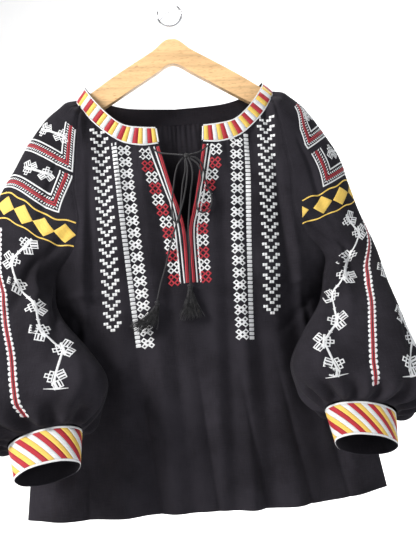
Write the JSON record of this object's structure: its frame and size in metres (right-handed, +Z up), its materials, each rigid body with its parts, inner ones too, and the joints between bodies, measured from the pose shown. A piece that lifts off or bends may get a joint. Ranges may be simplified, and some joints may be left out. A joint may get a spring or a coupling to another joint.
{
  "type": "embroidered shirt",
  "caption": "Loose black folk blouse with raglan sleeves, gathered neck with a tied slit, embroidered bands and cuffs, hanging on a wooden hanger.",
  "frame": {"origin": "inside top of the hanger's hook, where it hangs on its rod", "axes": "+Z up, -Y the way the front of the blouse faces, +X to the wearer's left"},
  "size_m": [0.6402, 0.2114, 0.8002],
  "materials": {
    "black_cloth": "matt woven cotton",
    "embroidered_band": "satin-stitched cotton",
    "hanger_wood": "clear-varnished beech",
    "hook_steel": "polished wire",
    "tie_cord": "twisted cotton cord",
    "tassel_thread": "loose cotton thread"
  },
  "bodies": {
    "root": {"front": "black_cloth", "back": "black_cloth", "sleeve_left": "black_cloth", "sleeve_right": "black_cloth", "neck_band": "embroidered_band", "cuff_left": "embroidered_band", "cuff_right": "embroidered_band", "hanger_wood": "hanger_wood", "hanger_hook": "hook_steel", "tie_right": "tie_cord", "tie_left": "tie_cord", "loop_right": "tie_cord", "loop_left": "tie_cord", "tail_right": "tie_cord", "tail_left": "tie_cord", "tie_knot": "tie_cord", "tassel_right": "tassel_thread", "tassel_left": "tassel_thread"}
  },
  "joints": []
}
